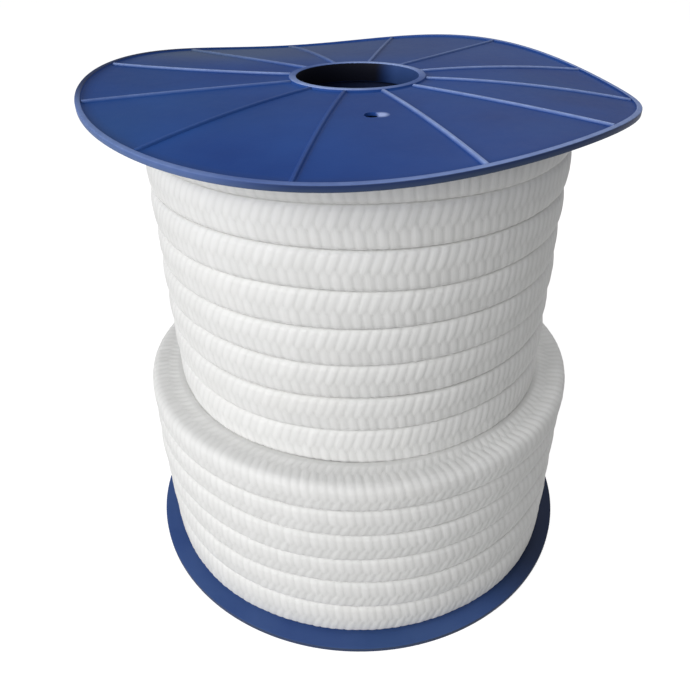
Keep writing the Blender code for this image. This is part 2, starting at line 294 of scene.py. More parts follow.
def white_braid():
    """Braided packing yarn: off-white, waxy, with filaments along each strand and painted shade that greys
    the creases.
    """
    material, term, shader = new_material("white_braid", {"Specular IOR Level": 0.45, "Sheen Weight": 0.12})
    unshaded = term.attribute("unshaded")
    tint = term.attribute("tint")
    across = term.attribute("across")
    along = term.attribute("along")
    place = term.node("ShaderNodeTexCoord", None, None, "Object")
    stretched = {0: across * FILAMENTS_ACROSS, 1: along * FILAMENTS_ALONG, 2: tint * FILAMENT_SETS}
    filament = term.node("ShaderNodeCombineXYZ", None, stretched)
    lines = term.noise(filament, 1.0)
    darkening = term.noise(place, SOIL_SCALE, detail=3.0)
    crease_shade_grey = (0.65, 0.65, 0.638, 1.0)
    crest = (0.79, 0.79, 0.782, 1.0)
    warm = (0.76, 0.75, 0.730, 1.0)
    # Painted shade: greyer in the creases between strands and where turns touch, with filaments and a random
    # tint on top
    colour = (unshaded * (0.88 + 0.12 * lines) + 0.12 * (tint - 0.5)).limited().blend(crease_shade_grey, crest)
    colour = darkening.above(start=0.55, gain=1.6).blend(colour, warm)
    feed(shader, "Base Color", colour)
    feed(shader, "Roughness", 0.50 + 0.16 * lines)
    feed(shader, "Normal", term.bump(lines, FILAMENT_HEIGHT, strength=0.45))
    return material


WHITE = (1.0, 1.0, 1.0, 1.0)


def floor_paper():
    """Pale floor that the camera sees as white, apart from the spool's soft shadow."""
    grey = (FLOOR_COLOUR, FLOOR_COLOUR, FLOOR_COLOUR, 1.0)
    material, term, shader = new_material("floor_paper", {"Base Color": grey, "Roughness": 0.9})
    path = term.node("ShaderNodeLightPath")
    rays = path.socket.node.outputs
    seen = Term(term.tree, rays["Is Camera Ray"]) + Term(term.tree, rays["Is Glossy Ray"])
    seen = (seen + Term(term.tree, rays["Is Transmission Ray"])).limited()
    glow = term.node("ShaderNodeEmission", None, {"Color": WHITE, "Strength": seen * FLOOR_GLOW})
    lit = Term(term.tree, shader.outputs[0])
    both = term.node("ShaderNodeAddShader", None, {0: lit, 1: glow})
    output = term.tree.nodes["Material Output"]
    term.tree.links.new(both.socket, output.inputs["Surface"])
    return material


class Wander:
    """A smooth seeded wander along a length: a few slow waves added up."""

    def __init__(self, seed, size, longest, shortest, waves=7):
        draw = np.random.default_rng(seed)
        spread = draw.uniform(0.85, 1.15, waves)
        self.rates = math.tau / np.geomspace(longest, shortest, waves) * spread
        self.starts = draw.uniform(0.0, math.tau, waves)
        sizes = draw.uniform(0.5, 1.0, waves)
        self.sizes = sizes * size / math.sqrt(np.sum(sizes**2) / 2)

    def __call__(self, place):
        total = np.zeros_like(place)
        for rate, start, size in zip(self.rates, self.starts, self.sizes):
            total += size * np.sin(rate * place + start)
        return total


def ease(share):
    """Smooth step from 0 to 1."""
    share = np.clip(share, 0.0, 1.0)
    return share * share * (3.0 - 2.0 * share)


NO_TRIANGLES = np.zeros((0, 3), int)


def mesh_piece(name, points, quads, material, attributes, triangles=NO_TRIANGLES):
    """A smooth mesh object from points and faces, with one number for each point in each attribute."""
    mesh = bpy.data.meshes.new(name)
    corners = np.concatenate([quads.ravel(), triangles.ravel()]).astype(np.int32)
    starts = np.concatenate([np.arange(len(quads)) * 4, quads.size + np.arange(len(triangles)) * 3])
    mesh.vertices.add(len(points))
    mesh.vertices.foreach_set("co", np.ascontiguousarray(points, np.float32).ravel())
    mesh.loops.add(len(corners))
    mesh.loops.foreach_set("vertex_index", corners)
    mesh.polygons.add(len(starts))
    mesh.polygons.foreach_set("loop_start", starts.astype(np.int32))
    mesh.update(calc_edges=True)
    mesh.validate()
    mesh.materials.append(material)
    for attribute, values in attributes.items():
        layer = mesh.attributes.new(attribute, "FLOAT", "POINT")
        layer.data.foreach_set("value", np.ascontiguousarray(values, np.float32).ravel())
    mesh.shade_smooth()
    piece = bpy.data.objects.new(name, mesh)
    bpy.context.scene.collection.objects.link(piece)
    face_outwards(piece)
    return piece


def grid_faces(columns, rows, closed_columns=False):
    """Four-sided faces between columns of points, each a closed loop of rows. The columns may close too."""
    last_column = columns if closed_columns else columns - 1
    column, row = np.meshgrid(np.arange(last_column), np.arange(rows), indexing="ij")
    after_column = (column + 1) % columns
    after_row = (row + 1) % rows
    corners = [(column, row), (after_column, row), (after_column, after_row), (column, after_row)]
    return np.stack([c * rows + r for c, r in corners], axis=-1).reshape(-1, 4)


def face_outwards(piece):
    """Turns a closed piece's faces so that they point outwards."""
    bm = bmesh.new()
    bm.from_mesh(piece.data)
    if bm.calc_volume(signed=True) < 0.0:
        bmesh.ops.reverse_faces(bm, faces=bm.faces)
    bm.to_mesh(piece.data)
    bm.free()


# Winding


def groove_height(turn):
    """Height of the groove on top of a turn where the winding runs level."""
    lift = FAT_TURN_LIFT * (1.0 - float(ease((turn - FAT_TURNS) / LIFT_FADE))) if turn else 0.0
    return WINDING_BOTTOM + turn * ROPE_SIZE + lift


FIXED_ENDS = 6.0                # places at each end of a layer in which its grooves settle to their heights


class Layer:
    """One layer of the winding. A place on it is counted in 48ths of a turn from the end of the crossover."""

    def __init__(self, first_turn, last_turn, radius, direction, seed):
        self.levels = np.array([groove_height(turn) for turn in range(first_turn, last_turn + 1)])
        if first_turn > 0:
            self.levels[1] -= STEP_BEDDING
        self.turns = len(self.levels) - 1
        self.radius = radius
        self.direction = direction
        self.first_angle = CROSSOVER_ANGLE + direction * math.pi * CROSSOVER / TURN
        self.length = radius * math.tau / TURN
        self.heave = Wander(seed, size=0.00030, longest=110.0, shortest=9.0)
        self.swell = Wander(seed + 1, size=0.00028, longest=90.0, shortest=7.0)
        draw = np.random.default_rng(seed + 2)
        count = int(self.length * TURN * (self.turns + 2) / STRAND_PITCH) + 2 * SPARE_STRANDS
        self.tints = draw.uniform(0.0, 1.0, (LANES, count))
        self.sizes = draw.uniform(*STRAND_SIZES, (LANES, count))
        self.shifts = draw.uniform(-STRAND_SHIFT, STRAND_SHIFT, (LANES, count))

    def angle(self, place):
        return self.first_angle + self.direction * math.tau * place / TURN

    def turn_edges(self, places):
        """Heights of a turn's lower and upper edge at places on it."""
        low = np.where(places < 0.0, self.levels[0], self.edge(places))
        high = np.minimum(self.edge(places + TURN), self.levels[-1])
        return low, high

    def edge(self, place):
        """Height of the groove at a place, before its own turn of rope has been laid on it."""
        turn = np.clip(np.floor(place / TURN), 0, self.turns).astype(int)
        after = np.minimum(turn + 1, self.turns)
        climb = ease((place - turn * TURN - TURN + CROSSOVER) / CROSSOVER)
        height = self.levels[turn] + (self.levels[after] - self.levels[turn]) * climb
        free = ease(place / FIXED_ENDS) * ease((self.turns * TURN - place) / FIXED_ENDS)
        return height + self.heave(place) * free


FACE_HALF = ROPE_SIZE / 2       # half the height of a turn


def section_lengths(last_bend):
    """Half the width of the outer face, and the length round a corner that bends this far."""
    flat = FACE_HALF - SHOULDER * (math.sin(last_bend) - math.sin(FACE_SLOPE))
    return flat, SHOULDER * (last_bend - FACE_SLOPE)


WOUND_FLAT, WOUND_ARC = section_lengths(TOUCHING_BEND)
STEP_FLAT, STEP_ARC = section_lengths(math.pi / 2)
LANE = 2 * STEP_FLAT + STEP_ARC                 # from the middle of one face to the next


def strand_relief(layer, length, around):
    """Height of the braid over the rope's plain form, with its painted shade level (lower in the creases),
    tint and filament coordinates.

    length runs along the rope, and around runs round it from 0 at the middle of the outer face, with up
    positive. Each lane's strands wrap one corner, and neighbours meet half a pitch apart on the faces.
    """
    length = length - layer.direction * TWIST * around
    best = np.full(length.shape, STRAND_FLOOR)
    tint = np.full(length.shape, 0.5)
    across = np.zeros(length.shape)
    along = np.zeros(length.shape)
    lanes = ((around, 0.0), (-around, 0.5), (2 * LANE - around, 0.5), (2 * LANE + around, 0.0))
    for number, (distance, offset) in enumerate(lanes):
        inside = np.minimum(distance, LANE - distance) + TIP_REACH
        place = (length - STRAND_SLANT * distance) / STRAND_PITCH + offset
        strand = np.floor(place + 0.5)
        index = np.clip(strand.astype(int) + SPARE_STRANDS, 0, layer.tints.shape[1] - 1)
        off_centre = place - strand + layer.shifts[number, index]
        narrow = np.sqrt(np.clip(inside / TIP_LENGTH, NARROWEST, 1.0))
        bulge = np.maximum(1.0 - np.abs(2.0 * off_centre / narrow) ** BULGE_POWER, BULGE_FLOOR)
        dive = (1.0 - np.clip(inside / TIP_DIVE_LENGTH, 0.0, 1.0)) ** 2
        size = layer.sizes[number, index]
        height = STRAND_DEPTH * size * (bulge - 1.0) + SIZE_LIFT * (size - 1.0) - TIP_DIVE * dive
        wins = (inside > 0.0) & (height > best)
        best = np.where(wins, height, best)
        tint = np.where(wins, layer.tints[number, index], tint)
        across = np.where(wins, off_centre * STRAND_PITCH, across)
        along = np.where(wins, distance, along)
    unshaded = np.clip(1.0 - best / STRAND_FLOOR, 0.0, 1.0)
    return best, unshaded, tint, across, along


def section_point(around, half, last_bend, depth):
    """Point and outward direction on the rope's rounded square section, in (out, up) from its outer face.

    around is scaled to the nominal rope, and half is half the height that the turn really has.
    """
    flat, arc = section_lengths(last_bend)
    side = np.sign(around)
    reach = np.abs(around)
    first_bend = np.clip(FACE_SLOPE + (reach - flat) / SHOULDER, FACE_SLOPE, last_bend)
    top_length = depth - 2 * SHOULDER
    top_run = np.clip(reach - flat - arc, 0.0, top_length)
    back_start = flat + arc + top_length
    second_bend = np.clip((reach - back_start) / SHOULDER, 0.0, math.pi / 2)
    back_run = np.clip(reach - back_start - math.pi / 2 * SHOULDER, 0.0, flat)
    along_face = np.minimum(reach / flat, 1.0)
    crown = FACE_SLOPE * flat / 2
    up = flat * along_face + SHOULDER * (np.sin(first_bend) - math.sin(FACE_SLOPE))
    up = up - SHOULDER * (1.0 - np.cos(second_bend)) - back_run
    out = -crown * along_face**2 - SHOULDER * (math.cos(FACE_SLOPE) - np.cos(first_bend))
    out = out - top_run - SHOULDER * np.sin(second_bend)
    bend = np.where(along_face < 1.0, FACE_SLOPE * along_face, first_bend + second_bend)
    return out, side * up * half / FACE_HALF, np.cos(bend), side * np.sin(bend)


def spaced(stops):
    """Rows between stops, each given as (end, number of rows up to it), from 0 and mirrored below it."""
    rows = [0.0]
    for end, count in stops:
        start = rows[-1]
        rows += [start + (end - start) * (step + 1) / count for step in range(count)]
    return np.array([-row for row in rows[:0:-1]] + rows)


TIPS_END = 1.4 * TIP_REACH      # the strands' tips on the face end inside this


def front_stops(flat, arc):
    """Rows over the outer face and round its corner."""
    return ((TIPS_END, 2), (flat, 4), (flat + arc, 5))


WOUND_STOPS = front_stops(WOUND_FLAT, WOUND_ARC)
WOUND_ROWS = spaced(WOUND_STOPS + ((WOUND_FLAT + WOUND_ARC + TUBE_DEPTH - SHOULDER, 2),))
STEP_SEAM = 0.0008              # half the strip that closes the section at the middle of its back
STEP_STOPS = front_stops(STEP_FLAT, STEP_ARC) + ((LANE, 5), (LANE + STEP_FLAT, 5))
STEP_BACK_STOPS = ((2 * LANE - STEP_FLAT, 3), (2 * LANE - STEP_SEAM, 3))
STEP_ROWS = spaced(STEP_STOPS + STEP_BACK_STOPS)
CUT_COLUMNS = 6                 # strands before a cut end over which the columns of points come upright


def leaning_lengths(layer, begin, end, rows, cut_end):
    """Lengths along the rope of every point: columns lean with the strands and stand upright at a cut."""
    pitch = STRAND_PITCH / SAMPLES
    length = np.arange(round(begin * layer.length / pitch), round(end * layer.length / pitch) + 1) * pitch
    reach = np.abs(rows)
    lean = STRAND_SLANT * (np.where(reach < LANE, reach, 2 * LANE - reach) - LANE / 2)
    lean = (lean + layer.direction * TWIST * rows)[None, :]
    if not cut_end:
        return length[:, None] + lean
    finish = end * layer.length
    length[-1] = finish
    upright = ease((finish - length) / (CUT_COLUMNS * STRAND_PITCH))[:, None]
    return np.minimum(length[:, None] + lean * upright, finish)


def rope_surface(layer, lengths, rows, step):
    """Points on the sides of a stretch of rope, column by column, with the braid's attributes there."""
    places = lengths / layer.length
    low, high = layer.turn_edges(places)
    half = np.maximum((high - low) / 2, THINNEST_HALF)
    middle = (high + low) / 2
    room = np.minimum(half / FACE_HALF, 1.0)
    around = rows[None, :] * np.ones_like(half)
    reach = np.abs(around)

    height, unshaded, tint, across, along = strand_relief(layer, lengths, around)
    last_bend = math.pi / 2 if step else TOUCHING_BEND
    flat, arc = section_lengths(last_bend)
    out, up, out_normal, up_normal = section_point(around, half, last_bend, LAYER_STEP + STEP_ROOT)
    touching = ease((reach - flat - PRESSED_START * arc) / (PRESSED_FADE * arc))
    if step:
        touching = np.where((around > 0.0) & (reach < LANE + flat), 0.0, touching)
    height = (height * (1.0 - touching) - PRESSED_DEPTH * touching) * room
    # Painted shade where the turns touch
    unshaded = unshaded * (1.0 - PRESSED_SHADE * touching)
    sunk = WEDGE_SINK * (1.0 - ease(half / (WEDGE_SHARE * FACE_HALF)))
    radius = layer.radius + out + out_normal * height + layer.swell(places) - sunk
    level = middle + up + up_normal * height
    angle = layer.angle(places)
    points = np.stack([radius * np.cos(angle), radius * np.sin(angle), level], axis=-1)
    values = {"unshaded": unshaded, "tint": tint, "across": across, "along": along}
    return points, {key: value.reshape(-1) for key, value in values.items()}


def rope_piece(name, layer, begin, end, material, step=False):
    """A stretch of the wound rope as one closed mesh. The step turn has its back too, and ends in a cut."""
    rows = STEP_ROWS if step else WOUND_ROWS
    lengths = leaning_lengths(layer, begin, end, rows, step)
    points, values = rope_surface(layer, lengths, rows, step)
    columns, count = points.shape[:2]
    rings = [points.reshape(-1, 3)]
    quads = [grid_faces(columns, count)]
    fans = []
    for column in (0,) if step else (0, columns - 1):
        loop = column * count + np.arange(count)
        hub = np.full(count, sum(len(ring) for ring in rings))
        ends = [np.roll(loop, -1), loop] if column == 0 else [loop, np.roll(loop, -1)]
        fans.append(np.stack([hub, *ends], axis=-1))
        rings.append(points[column].mean(axis=0)[None, :])
        for key, value in values.items():
            values[key] = np.append(value, 0.5)
    if step:
        start = sum(len(ring) for ring in rings)
        loop = (columns - 1) * count + np.arange(count)
        place = lengths[-1, 0] / layer.length
        cap_points, cap_quads, cap_fan, cap_values = cut_cap(layer, points[-1], loop, place, start)
        rings.append(cap_points)
        quads.append(cap_quads)
        fans.append(cap_fan)
        values = {key: np.append(value, cap_values[key]) for key, value in values.items()}
    quads = np.concatenate(quads)
    piece = mesh_piece(name, np.concatenate(rings), quads, material, values, np.concatenate(fans))
    piece.data.set_sharp_from_angle(angle=ROPE_SHARP)
    return piece


PLAIN_SHADE = 0.8               # painted shade level of what has no strands
CUT_RINGS = (0.94, 0.84, 0.72, 0.60, 0.48, 0.36, 0.24, 0.12)
CUT_CELL = 0.0043               # spacing of the strand ends on the cut
CUT_CELL_DEPTH = 0.00035
CUT_BULGE = 0.0005
CUT_ROUNDING = 0.16             # the cut reaches its full bulge this share of the way in
CUT_SHADE = 0.62                # mean painted shade level of the cut, where the strand ends vary by the rest of 1


def cut_cap(layer, outer, outer_loop, place, start):
    """The rope's cut end: rings of points inside the last loop, with the strand ends standing proud."""
    count = len(outer)
    centre = outer.mean(axis=0)
    angle = layer.angle(place)
    ahead = layer.direction * np.array([-math.sin(angle), math.cos(angle), 0.0])
    outward = np.array([math.cos(angle), math.sin(angle), 0.0])
    rings = []
    unshaded_rings = []
    for share in CUT_RINGS:
        ring = centre + (outer - centre) * share
        out = (ring - centre) @ outward
        up = ring[:, 2] - centre[2]
        cells = np.cos((out + up) * math.tau / CUT_CELL) * np.cos((out - up) * math.tau / CUT_CELL)
        proud = CUT_CELL_DEPTH * cells + CUT_BULGE * min(1.0, (1.0 - share) / CUT_ROUNDING)
        rings.append(ring + ahead[None, :] * proud[:, None])
        # Painted shade between the strand ends
        unshaded_rings.append(np.clip(CUT_SHADE + (1.0 - CUT_SHADE) * cells, 0.0, 1.0))
    points = np.concatenate(rings + [(centre + ahead * CUT_BULGE)[None, :]])
    loops = [outer_loop] + [start + number * count + np.arange(count) for number in range(len(CUT_RINGS))]
    quads = [
        np.stack([here, np.roll(here, -1), np.roll(after, -1), after], axis=-1)
        for here, after in zip(loops, loops[1:])
    ]
    hub = np.full(count, start + len(CUT_RINGS) * count)
    fan = np.stack([loops[-1], np.roll(loops[-1], -1), hub], axis=-1)
    unshaded = np.append(np.concatenate(unshaded_rings), PLAIN_SHADE)
    values = {
        "unshaded": unshaded,
        "tint": np.full(len(unshaded), 0.5),
        "across": points[:, 2],
        "along": points @ outward,
    }
    return points, np.concatenate(quads), fan, values


def turned_piece(name, profile, segments, material, attributes):
    """A closed ring turned from (radius, height) points, with numbers for each point of the profile."""
    radius = np.array([point[0] for point in profile])
    height = np.array([point[1] for point in profile])
    angle = np.arange(segments) * math.tau / segments
    points = np.stack([
        np.cos(angle)[:, None] * radius[None, :],
        np.sin(angle)[:, None] * radius[None, :],
        np.ones(segments)[:, None] * height[None, :],
    ], axis=-1)
    faces = grid_faces(segments, len(profile), closed_columns=True)
    values = {key: np.tile(value, segments) for key, value in attributes.items()}
    return mesh_piece(name, points.reshape(-1, 3), faces, material, values)


CORE_OVERLAP = 0.0008           # the inner layers reach this far into the outer turns
CORE_LIFT = 0.0002              # they start this far above the winding's bottom
CORE_DROP = 0.0004              # and end this far below its top
CORE_SHELF_DROP = 0.0010        # in the lower stage, a turn's height and this much under the step turn
CORE_SIDE_DROP = 0.0020         # and behind the upper turns, this far below the crowns
CROWN_HEIGHT = 0.0022           # height of each layer's crown
CROWN_SHARES = (1.0, 0.92, 0.75, 0.5, 0.25, 0.08)
CROWN_POWER = 4
CORE_SEGMENTS = 144


def winding_core(material):
    """The inner layers: plain below the outer turns, with a crown for each layer under the upper flange."""
    behind = UPPER_RADIUS - TUBE_DEPTH + CORE_OVERLAP
    shelf = LOWER_RADIUS - TUBE_DEPTH + CORE_OVERLAP
    bottom = WINDING_BOTTOM + CORE_LIFT
    ledge = groove_height(STEP_TURNS - 1) - CORE_SHELF_DROP - ROPE_SIZE
    top = groove_height(TURNS) - CORE_DROP
    outline = [(WINDING_INNER, bottom), (shelf, bottom), (shelf, ledge), (behind, ledge)]
    outline.append((behind, top - CORE_SIDE_DROP))
    for number in reversed(range(UPPER_LAYERS)):
        outer = min(WINDING_INNER + (number + 1) * LAYER_STEP, behind)
        inner = WINDING_INNER + number * LAYER_STEP
        for share in CROWN_SHARES:
            radius = inner + (outer - inner) * share
            outline.append((radius, top - CROWN_HEIGHT * abs(2 * share - 1) ** CROWN_POWER))
    outline.append((WINDING_INNER, top - CROWN_HEIGHT))
    unshaded = np.full(len(outline), PLAIN_SHADE)
    return turned_piece("packing_inner_layers", outline, CORE_SEGMENTS, material, {"unshaded": unshaded})


UPPER_START = 12.0              # the upper rope starts this many places before its hidden turn's end
UPPER_JOINT = 10.0              # its pieces meet this many places before its 4th and 7th turns' ends
LOWER_JOINT = 2.0               # and the lower rope's first two this many after its second turn's end
UPPER_SEED = 11
LOWER_SEED = 31


def make_winding(material):
    """All the stretches of rope and the inner layers."""
    upper = Layer(STEP_TURNS - 1, TURNS, UPPER_RADIUS, direction=-1, seed=UPPER_SEED)
    lower = Layer(0, STEP_TURNS, LOWER_RADIUS, direction=1, seed=LOWER_SEED)
    top = upper.turns * TURN
    cut = lower.turns * TURN - CROSSOVER
    step_start = cut - TURN
    upper_stops = [TURN - UPPER_START, 4 * TURN - UPPER_JOINT, 7 * TURN - UPPER_JOINT, top]
    lower_stops = [-CROSSOVER, 2 * TURN + LOWER_JOINT, step_start]
    pieces = []
    for part, layer, stops in (("upper", upper, upper_stops), ("lower", lower, lower_stops)):
        for number, (begin, end) in enumerate(zip(stops, stops[1:]), start=1):
            pieces.append(rope_piece(f"packing_{part}_turns_{number}", layer, begin, end, material))
    pieces.append(rope_piece("packing_step_turn", lower, step_start, cut, material, step=True))
    pieces.append(winding_core(material))
    for piece in pieces:
        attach(piece, "root")
        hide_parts("packing_winding")


# Flanges


def reach_from_lip(radius):
    """0 on the lip and 1 on the rim."""
    return np.clip((radius - LIP_RADIUS) / (FLANGE_RADIUS - LIP_RADIUS), 0.0, None)


def buckle(x, y):
    """How far the upper flange stands off its flat shape at a point."""
    direction = np.arctan2(y, x)
    height = np.full(x.shape, -BUCKLE_SAG)
    for waves, crest, crest_direction in BUCKLE_WAVES:
        height += crest * np.cos(waves * (direction - math.radians(crest_direction)))
    return height * reach_from_lip(np.hypot(x, y)) ** 2


EDGE_CORNER = 0.00035           # radius of the moulding's corners
FILLET_REACH = 0.0005           # a small fillet where the plate meets the lip and the bead
FILLET_OUT = 0.0001             # and its middle, out from their wall and up from the plate
FILLET_UP = 0.0003
PLATE_RINGS = 19
UNDERSIDE_RINGS = 9


def flange_outline():
    """Closed section of a flange as (radius, height, part), with part 1 on the plate's upper side."""
    corner = EDGE_CORNER
    outline = []

    def bend(radius, height, start, finish, steps=3):
        """A rounded corner about a point, between two angles in degrees."""
        for step in range(steps + 1):
            angle = math.radians(start + (finish - start) * step / steps)
            outline.append((radius + corner * math.cos(angle), height + corner * math.sin(angle), 0))

    top = FLANGE_THICKNESS
    bead_inner = FLANGE_RADIUS - BEAD_WIDTH
    outline.append((BORE_RADIUS, corner - SPIGOT_DEPTH, 0))
    outline.append((BORE_RADIUS, top - 2 * corner, 0))
    bend(BORE_RADIUS + corner, top - corner, 180, 90)
    bend(LIP_RADIUS - corner, top - corner, 90, 0)
    outline.append((LIP_RADIUS + FILLET_OUT, PLATE_THICKNESS + FILLET_UP, 0))
    plate_start = LIP_RADIUS + FILLET_REACH
    plate_end = bead_inner - FILLET_REACH
    for ring in range(PLATE_RINGS + 1):
        outline.append((plate_start + (plate_end - plate_start) * ring / PLATE_RINGS, PLATE_THICKNESS, 1))
    outline.append((bead_inner - FILLET_OUT, PLATE_THICKNESS + FILLET_UP, 0))
    bend(bead_inner + corner, top - corner, 180, 90)
    bend(FLANGE_RADIUS - corner, top - corner, 90, 0)
    bend(FLANGE_RADIUS - corner, corner, 0, -90)
    under_start = FLANGE_RADIUS - 2 * corner
    for ring in range(1, UNDERSIDE_RINGS + 1):
        outline.append((under_start - (under_start - SPIGOT_RADIUS) * ring / (UNDERSIDE_RINGS + 1), 0.0, 0))
    outline.append((SPIGOT_RADIUS, 0.0, 0))
    outline.append((SPIGOT_RADIUS, corner - SPIGOT_DEPTH, 0))
    outline.append((SPIGOT_RADIUS - corner, -SPIGOT_DEPTH, 0))
    outline.append((BORE_RADIUS + corner, -SPIGOT_DEPTH, 0))
    return outline


# Columns of points on each side of a rib's middle, in metres from it
RIB_LINES = (0.0, 0.0004, 0.0006, 0.0008, 0.0010, 0.0012, 0.0015, 0.0019, 0.0028)
RIB_FLAT = 0.0005               # half the width of a rib's top
RIB_SIDE = 0.0006               # width of its sloping side
RIB_FILLET_HEIGHT = 0.0001
RIB_FILLET_START = 0.0010
RIB_FILLET_WIDTH = 0.0006
FIELD_COLUMNS = 16


def rib_profile(distance):
    """Height of a rib over the plate at a distance from its middle: a rounded bar with a small fillet."""
    side = np.abs(distance)
    bar = RIB_HEIGHT * (1.0 - ease((side - RIB_FLAT) / RIB_SIDE))
    fillet = RIB_FILLET_HEIGHT * (1.0 - ease((side - RIB_FILLET_START) / RIB_FILLET_WIDTH))
    return np.maximum(bar, fillet)


def rib_columns(radius):
    """Angle of each column of points on each ring, and its distance from a rib's middle.

    The columns beside a rib run along it, and the ones in the field between two ribs fan out.
    """
    lines = [-line for line in RIB_LINES[:0:-1]] + list(RIB_LINES)
    sector = math.tau / RIB_COUNT
    reach = np.arcsin(RIB_LINES[-1] / radius)
    angles = []
    distances = []
    for rib in range(RIB_COUNT):
        centre = RIB_PHASE + sector * rib
        for line in lines:
            angles.append(centre + np.arcsin(line / radius))
            distances.append(np.full(len(radius), line))
        for column in range(1, FIELD_COLUMNS):
            angles.append(centre + reach + (sector - 2 * reach) * column / FIELD_COLUMNS)
            distances.append(np.full(len(radius), RIB_LINES[-1]))
    return np.array(angles), np.array(distances)


def lobe(angle, faint, full):
    """A share that is 1 round angle 0 and fades out. It ends at cosine faint and is full from cosine full."""
    return ease((np.cos(angle) - faint) / (full - faint))


# Directions round the axis of the flanges' painted highlights, painted light and painted shade
DIM_RIB_ANGLE = math.radians(240)        # the ribs' painted highlight is weakest here
BACK_ANGLE = math.radians(90)           # and less here too
BEAD_HIGHLIGHT_ANGLE = math.radians(-20)
LIP_HIGHLIGHT_ANGLE = math.radians(240)
LIT_RIM_ANGLE = math.radians(222)       # painted light: the rim is painted pale here, on the side the key lamp lights
SHADED_RIM_ANGLE = math.radians(168)     # and painted dark here, as shade
BORE_LIT_ANGLE = 0.0                  # the bore is painted paler here, on its lit side, and painted dark as shade elsewhere
SHADED_SECTOR_ANGLE = math.radians(-8)          # the lower flange's inner face has its darkest painted shade here, once turned over

# Their strengths, as shares
DIM_RIB_LOSS = 0.95
BACK_LOSS = 0.60
RIB_HIGHLIGHT_START = 0.15                   # of a rib's height
BEAD_HIGHLIGHT_LEAST = 0.05
BEAD_HIGHLIGHT_MORE = 0.65
LIP_HIGHLIGHT_MEAN = 0.55
LIP_HIGHLIGHT_SWING = 0.40
LIT_RIM_BEAD = 0.45
LIT_RIM_EDGE = 0.30
LIT_RIM_EDGE_LOSS = 0.80                # less painted shade on the edge where the painted light falls
BORE_LIT_LOSS = 0.90
BORE_LIT_PALENESS = 0.20
INNER_FACE_DUST = 0.26
SHADED_SECTOR_DEPTH = 0.80

# Painted reflection: a pale grey sheen on the back of the upper plate, stronger to the left
SHEEN_START = 0.010                      # metres behind the axis
SHEEN_FADE = 0.060                       # metres further to its full share
SHEEN_MIDDLE = 0.28                      # its share straight behind the axis
SHEEN_SLOPE = 2.6                        # less for each metre to the right
SHEEN_MOST = 0.50

BESIDE_HUB = 2 * LIP_RADIUS             # points on top are on the lip inside this, and otherwise on the bead
CREST_LEVEL = FLANGE_THICKNESS - 0.9 * EDGE_CORNER
SIDE_LEVEL = FLANGE_THICKNESS - 0.5 * EDGE_CORNER


def flange_light_and_dust(outline, x, y, angle, rib, turned_over):
    """Painted highlights, painted light, painted shade, a painted reflection and dust at every point of a
    flange, as shares.
    """
    radius = outline[:, 0]
    level = outline[:, 1]
    on_top = level > CREST_LEVEL
    on_bead = on_top & (radius > FLANGE_RADIUS - BEAD_WIDTH)
    on_edge = (level < SIDE_LEVEL) & (radius > FLANGE_RADIUS - 0.5 * EDGE_CORNER)
    in_bore = (level < CREST_LEVEL) & (radius < BORE_RADIUS + 0.5 * EDGE_CORNER)
    inner_face = (level < 0.5 * PLATE_THICKNESS) & (radius > SPIGOT_RADIUS)
    # Painted light on the rim, on the side the key lamp lights
    lit_rim = lobe(angle - LIT_RIM_ANGLE, faint=0.75, full=0.95)

    # Painted highlights: pale rib tops, bead and lip, strongest where light catches them
    rib_highlight_share = 1.0 - DIM_RIB_LOSS * lobe(angle - DIM_RIB_ANGLE, faint=0.60, full=0.90)
    rib_highlight_share = rib_highlight_share * (1.0 - BACK_LOSS * lobe(angle - BACK_ANGLE, faint=0.30, full=0.80))
    rib_highlight = np.clip(rib / RIB_HEIGHT - RIB_HIGHLIGHT_START, 0.0, 1.0) * rib_highlight_share
    bead_highlight = BEAD_HIGHLIGHT_LEAST + BEAD_HIGHLIGHT_MORE * lobe(angle - BEAD_HIGHLIGHT_ANGLE, faint=-0.50, full=1.0)
    bead_highlight = np.maximum(bead_highlight, LIT_RIM_BEAD * lit_rim)
    lip_highlight = LIP_HIGHLIGHT_MEAN + LIP_HIGHLIGHT_SWING * np.cos(2 * (angle - LIP_HIGHLIGHT_ANGLE))
    painted_highlight = np.maximum(rib_highlight, on_top * np.where(radius < BESIDE_HUB, lip_highlight, bead_highlight))
    painted_highlight = np.maximum(painted_highlight, on_edge * LIT_RIM_EDGE * lit_rim)

    # Painted shade on the outer edge, less on its lit side, and on the left of the bead
    edge = on_edge * (1.0 - LIT_RIM_EDGE_LOSS * lit_rim)
    edge = np.maximum(edge, on_bead * lobe(angle - SHADED_RIM_ANGLE, faint=0.80, full=0.95))

    # In the bore: painted shade on the shaded walls, and paler on the lit side
    bore_lit_side = lobe(angle - BORE_LIT_ANGLE, faint=0.30, full=0.70)
    painted_shade = in_bore * (1.0 - BORE_LIT_LOSS * bore_lit_side)
    dust_and_painted_light = np.maximum(inner_face * INNER_FACE_DUST, in_bore * bore_lit_side * BORE_LIT_PALENESS)
    if turned_over:
        # Painted shade on the sector of the lower flange that the winding shades
        shaded_sector = lobe(angle + SHADED_SECTOR_ANGLE, faint=0.64, full=0.94)
        painted_shade = np.maximum(painted_shade, inner_face * SHADED_SECTOR_DEPTH * shaded_sector)
    else:
        # Painted reflection on the back of the upper plate
        painted_sheen = ease((y - SHEEN_START) / SHEEN_FADE) * np.clip(SHEEN_MIDDLE - SHEEN_SLOPE * x, 0.0, SHEEN_MOST)
        dust_and_painted_light = np.maximum(dust_and_painted_light, (outline[:, 2] > 0) * painted_sheen)
    return {"painted_highlight": painted_highlight, "edge": edge, "painted_shade": painted_shade, "dust_and_painted_light": dust_and_painted_light}


